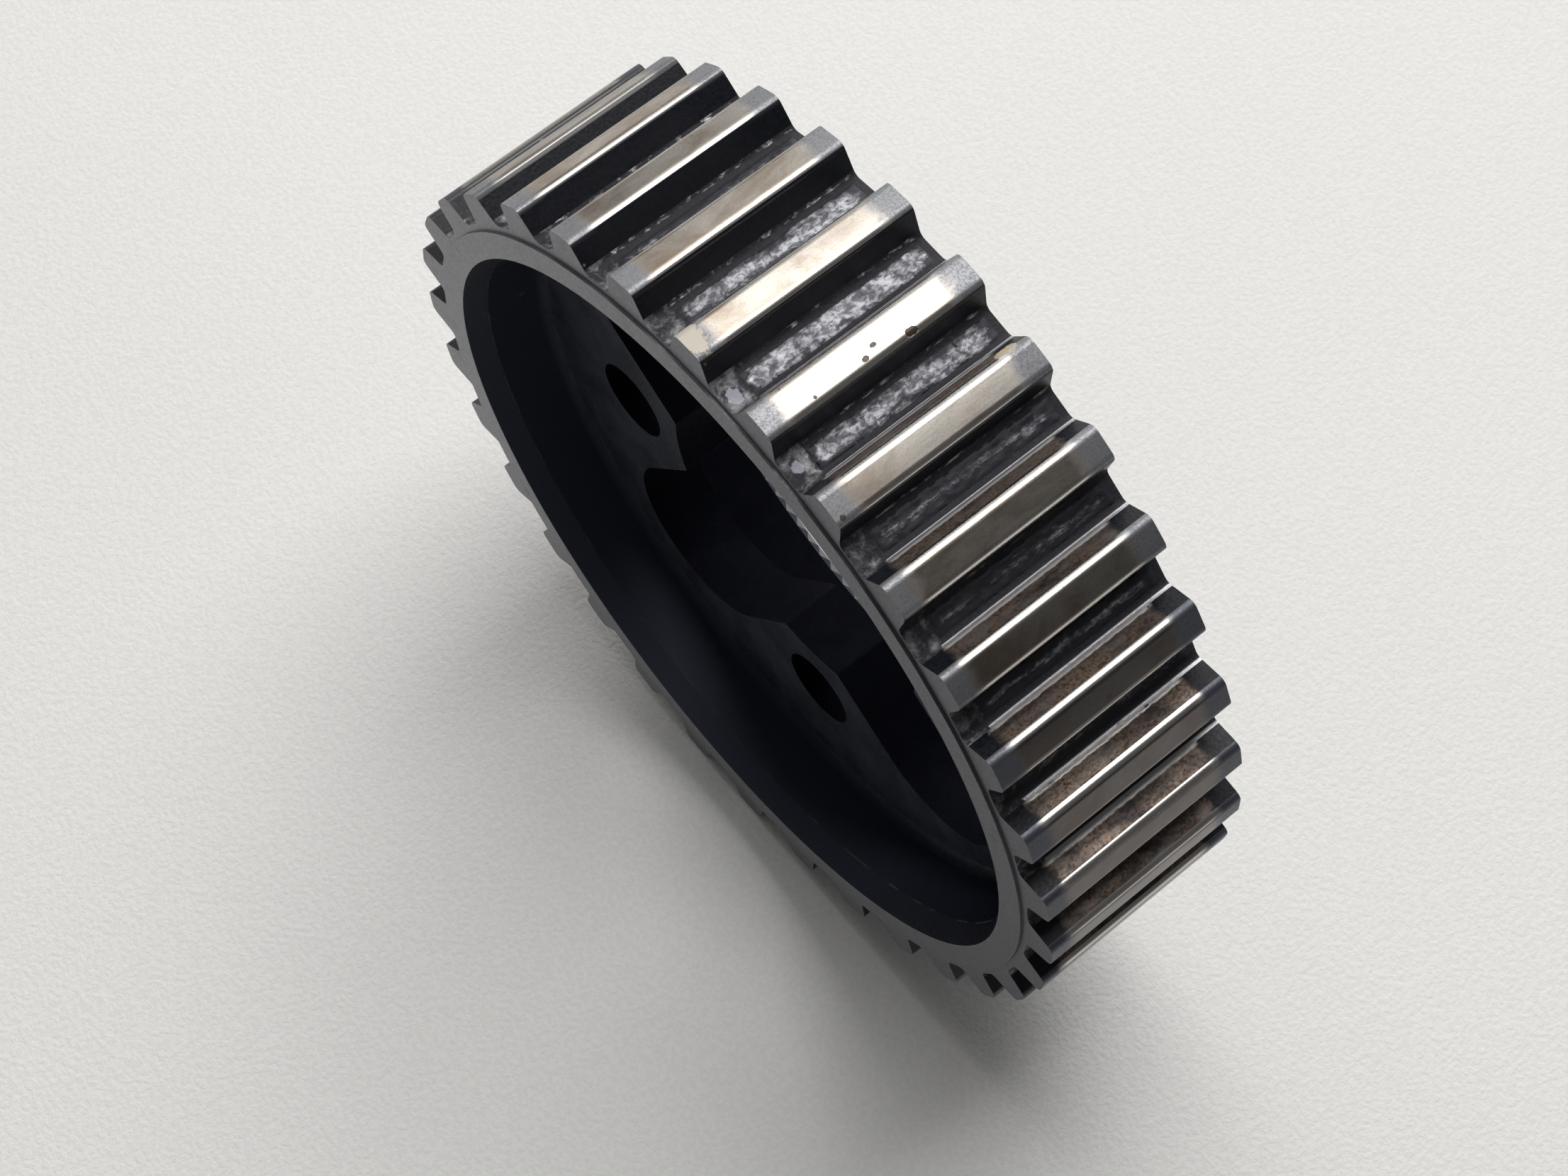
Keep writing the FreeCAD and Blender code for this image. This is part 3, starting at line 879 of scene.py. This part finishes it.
PICK_SHARE = 0.2    # of a step: how near a vertex lies to the row that is picked
RIM_SHARE = 0.5     # of a step: the rim of a strip that stays without lumps


def deselect_all():
    """Clears the selection, so that the next operator acts on new pieces alone."""
    if bpy.context.object and bpy.context.object.mode != "OBJECT":
        bpy.ops.object.mode_set(mode="OBJECT")
    bpy.ops.object.select_all(action="DESELECT")


def pick_vertices(piece, test):
    """Goes into edit mode with the vertices picked that pass a test of their place."""
    bpy.ops.object.mode_set(mode="EDIT")
    bpy.ops.mesh.select_mode(type="VERT")
    bpy.ops.mesh.select_all(action="DESELECT")
    bpy.ops.object.mode_set(mode="OBJECT")
    for vertex in piece.data.vertices:
        vertex.select = test(vertex.co)
    bpy.ops.object.mode_set(mode="EDIT")


def gap_lift(side, values):
    """How far a gap's rounding rises at a distance from the gap's middle."""
    past = max(0.0, side - values.flat_half_width)
    return values.rounding - math.sqrt(max(0.0, values.rounding ** 2 - past ** 2))


def model_grime_strip(values, sizes):
    """One strip of grime, bent to the floor and roundings of the gap on the X axis."""
    deselect_all()
    run = values.end - values.start
    bpy.ops.mesh.primitive_grid_add(
        x_subdivisions=values.rows, y_subdivisions=values.columns, size=1.0,
        location=(sizes.root_radius, 0.0, values.start + run / 2),
        rotation=(0.0, math.pi / 2, 0.0))
    strip = bpy.context.object
    strip.scale = (run, 2 * values.half_width, 1.0)
    bpy.ops.object.transform_apply(location=True, rotation=True, scale=True)
    step = 2 * values.half_width / values.columns
    for column in range(values.columns // 2 + 1):
        side = values.half_width - column * step
        lift = gap_lift(side, values)
        if lift <= 0.0:
            continue
        pick_vertices(strip, lambda co: abs(abs(co.y) - side) < step * PICK_SHARE)
        bpy.ops.transform.translate(value=(lift, 0.0, 0.0))
    bpy.ops.object.mode_set(mode="OBJECT")
    inner = strip.vertex_groups.new(name="lumps")
    edge = step * RIM_SHARE
    inside = [v.index for v in strip.data.vertices
              if abs(v.co.y) < values.half_width - edge
              and values.start + edge < v.co.z < values.end - edge]
    inner.add(inside, 1.0, "REPLACE")
    wall = strip.modifiers.new("wall", "SOLIDIFY")
    wall.thickness = values.shell
    wall.offset = -1.0
    bpy.ops.object.modifier_apply(modifier=wall.name)
    return strip


def lump_texture(values):
    """The cloudy pattern that raises the lumps."""
    texture = bpy.data.textures.new("grime_lumps", "CLOUDS")
    texture.noise_scale = values.lump_size
    texture.noise_depth = 2
    texture.contrast = values.lump_contrast
    return texture


def raise_lumps(strip, texture, values):
    """Raises the strip's outer face in lumps."""
    lumps = strip.modifiers.new("lumps", "DISPLACE")
    lumps.texture = texture
    lumps.texture_coords = "LOCAL"
    lumps.direction = "NORMAL"
    lumps.strength = values.lump_height
    lumps.mid_level = values.sunk
    lumps.vertex_group = "lumps"
    bpy.context.view_layer.objects.active = strip
    bpy.ops.object.modifier_apply(modifier=lumps.name)


def add_root_grime(context):
    """Copies the strip into every gap and raises its own lumps there."""
    values, sizes = context.scene.gear_grime, context.scene.gear_sizes
    material = make_dried_grime(values, sizes)
    texture = lump_texture(values)
    first = model_grime_strip(values, sizes)
    first.data.materials.append(material)
    for number in range(sizes.teeth):
        deselect_all()
        first.select_set(True)
        context.view_layer.objects.active = first
        bpy.ops.object.duplicate(linked=False)
        strip = context.object
        strip.name = f"root_grime_{number + 1:02d}"
        strip.rotation_euler.z = number * 2 * math.pi / sizes.teeth
        bpy.ops.object.transform_apply(location=False, rotation=True, scale=False)
        raise_lumps(strip, texture, values)
        bpy.ops.object.shade_smooth_by_angle(angle=values.smooth_angle)
        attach(strip, "root")
    bpy.data.objects.remove(first)


class PUMPGEAR_OT_add_root_grime(Operator):
    """Lays dried grime in the gaps between the teeth"""

    bl_idname = "pump_gear.add_root_grime"
    bl_label = "Add root grime"
    bl_options = {"REGISTER", "UNDO"}

    def execute(self, context):
        add_root_grime(context)
        return {"FINISHED"}


# ---------------- stage

FLOOR_GRAIN, FLOOR_CLOUD = 0.6, 90.0   # widths of the floor's lumps, in millimetres
# painted shade: the floor darkens between these heights along Z
FLOOR_FADE = (5.0, 130.0)              # heights where the floor starts to darken and ends
FLOOR_DARKEST = 0.90                   # its darkest tone as a share of its colour
ROOM_TURN = (-0.75, 0.35)              # where the room starts to lighten and is light
SENSOR_WIDTH = 36.0
CLIP_NEAR, CLIP_FAR = 0.01, 50.0


def make_tabletop(values):
    """Pale tabletop that is seen from its front only, painted darker along Z as painted shade.
    """
    material = new_material("tabletop")
    w = Wiring(material.node_tree)
    place = w.millimetres()
    grain = w.noise(place, FLOOR_GRAIN, detail=2.0)
    cloud = w.noise(place, FLOOR_CLOUD, detail=2.0)
    # random clouds and grain, and painted shade darkening the floor along Z
    wear_and_shade = w.weigh((w.rise(cloud, 0.35, 0.7), 0.15),
                   (w.rise(w.split(place)["Z"], *FLOOR_FADE), 0.40),
                   (w.rise(grain, 0.36, 0.64), 0.45))
    darkest = tuple(part * FLOOR_DARKEST for part in values.floor)
    base = w.tint(wear_and_shade, values.floor, darkest)
    shader = w.principled({"Base Color": base, "Roughness": 0.55}, w.times(grain, 0.16),
                          strength=0.6)
    back = w.node("ShaderNodeNewGeometry").outputs["Backfacing"]
    clear = w.node("ShaderNodeBsdfTransparent")
    w.close(w.node("ShaderNodeMixShader", {0: back, 1: shader.outputs[0],
                                           2: clear.outputs[0]}))
    return material


def lay_floor(values):
    """The tabletop under the gear as it stands on two of its teeth."""
    normal = Vector((math.cos(values.floor_turn), math.sin(values.floor_turn), 0.0))
    deselect_all()
    bpy.ops.mesh.primitive_grid_add(
        x_subdivisions=4, y_subdivisions=4, size=values.floor_size,
        location=normal * -values.floor_offset,
        rotation=(0.0, math.pi / 2, values.floor_turn))
    floor = bpy.context.object
    floor.name = "tabletop"
    bpy.ops.object.transform_apply(location=True, rotation=True, scale=True)
    floor.data.materials.append(make_tabletop(values))


def hang_lamp(values, name, direction, sides, power):
    """A soft lamp with two sides, the second along the axis, that looks at the gear."""
    direction = Vector(direction).normalized()
    target = Vector((0.0, 0.0, values.aim_height))
    deselect_all()
    bpy.ops.object.light_add(type="AREA",
                             location=target + direction * values.lamp_distance)
    lamp = bpy.context.object
    lamp.name = name
    lamp.data.shape = "RECTANGLE"
    lamp.data.size, lamp.data.size_y = sides
    lamp.data.energy = power
    lamp.data.color = values.lamp_colour
    across = Vector((0.0, 0.0, 1.0)).cross(direction).normalized()
    turned = Matrix((across, direction.cross(across), direction)).transposed()
    lamp.rotation_euler = turned.to_euler()


def hang_lamps(values):
    """The key lamp, the lamp that shows in the lands and the one for the far floor."""
    hang_lamp(values, "key_lamp", values.key_direction,
              (values.key_size, values.key_size), values.key_power)
    hang_lamp(values, "gloss_lamp", values.gloss_direction,
              (values.gloss_size, values.gloss_length), values.gloss_power)
    hang_lamp(values, "side_lamp", values.side_direction,
              (values.side_size, values.side_length), values.side_power)


def light_room(values):
    """A room that is light on one side, darker on the other and white to the camera."""
    world = bpy.data.worlds.new("studio")
    bpy.context.scene.world = world
    world.use_nodes = True
    world.node_tree.nodes.clear()
    w = Wiring(world.node_tree)
    side = w.split(w.node("ShaderNodeTexCoord").outputs["Generated"])["Y"]
    level = w.spread(w.rise(side, *ROOM_TURN), values.room_dark, values.room_light)
    room = w.node("ShaderNodeCombineColor", {"Red": level, "Green": level, "Blue": level})
    soft = w.node("ShaderNodeBackground", {"Color": room.outputs[0], "Strength": 1.0})
    white = w.node("ShaderNodeBackground", {"Color": (1.0, 1.0, 1.0), "Strength": 1.0})
    seen = w.node("ShaderNodeLightPath").outputs["Is Camera Ray"]
    w.close(w.node("ShaderNodeMixShader", {0: seen, 1: soft.outputs[0],
                                           2: white.outputs[0]}), kind="World")


def place_camera(values):
    """The camera at the height, angle and distance of the picture."""
    deselect_all()
    bpy.ops.object.camera_add(location=values.camera_place, rotation=values.camera_turn)
    camera = bpy.context.object
    camera.name = "camera"
    camera.data.sensor_width = SENSOR_WIDTH
    camera.data.lens = values.camera_lens
    camera.data.clip_start, camera.data.clip_end = CLIP_NEAR, CLIP_FAR
    bpy.context.scene.camera = camera


def set_stage(context):
    """Floor, lamps, room and camera."""
    values = context.scene.gear_stage
    lay_floor(values)
    hang_lamps(values)
    light_room(values)
    place_camera(values)
    context.scene.view_settings.view_transform = "Standard"


class PUMPGEAR_OT_set_stage(Operator):
    """Lays the tabletop, hangs the lamps, lights the room and sets the camera"""

    bl_idname = "pump_gear.set_stage"
    bl_label = "Set stage"
    bl_options = {"REGISTER", "UNDO"}

    def execute(self, context):
        set_stage(context)
        return {"FINISHED"}


# ---------------- sidebar

class PUMPGEAR_PT_sidebar(Panel):
    """Lists the gear's steps and their settings"""

    bl_label = "Pump gear"
    bl_idname = "PUMPGEAR_PT_sidebar"
    bl_space_type = "VIEW_3D"
    bl_region_type = "UI"
    bl_category = "Pump gear"

    def draw(self, context):
        scene = context.scene
        for step, groups in (
                ("pump_gear.finish_gear", (scene.gear_sizes, scene.gear_wear,
                                           scene.gear_colours)),
                ("pump_gear.add_root_grime", (scene.gear_grime,)),
                ("pump_gear.set_stage", (scene.gear_stage,))):
            box = self.layout.box()
            box.operator(step)
            for group in groups:
                for name in group.__annotations__:
                    box.prop(group, name)


SETTINGS = {"gear_sizes": GearSizes, "gear_wear": WearSizes, "gear_colours": SteelColours,
            "gear_grime": GrimeSizes, "gear_stage": StageValues}
STEPS = (PUMPGEAR_OT_finish_gear, PUMPGEAR_OT_add_root_grime, PUMPGEAR_OT_set_stage)


def register():
    """Adds the settings, the steps and the sidebar."""
    for kind in (*SETTINGS.values(), *STEPS, PUMPGEAR_PT_sidebar):
        bpy.utils.register_class(kind)
    for name, kind in SETTINGS.items():
        setattr(bpy.types.Scene, name, PointerProperty(type=kind))


def unregister():
    """Takes the settings, the steps and the sidebar away again."""
    for name in SETTINGS:
        delattr(bpy.types.Scene, name)
    for kind in reversed((*SETTINGS.values(), *STEPS, PUMPGEAR_PT_sidebar)):
        bpy.utils.unregister_class(kind)


def main():
    """Makes the finished gear on its stage."""
    register()
    bpy.ops.pump_gear.finish_gear()
    bpy.ops.pump_gear.add_root_grime()
    bpy.ops.pump_gear.set_stage()


if __name__ == "__main__":
    main()
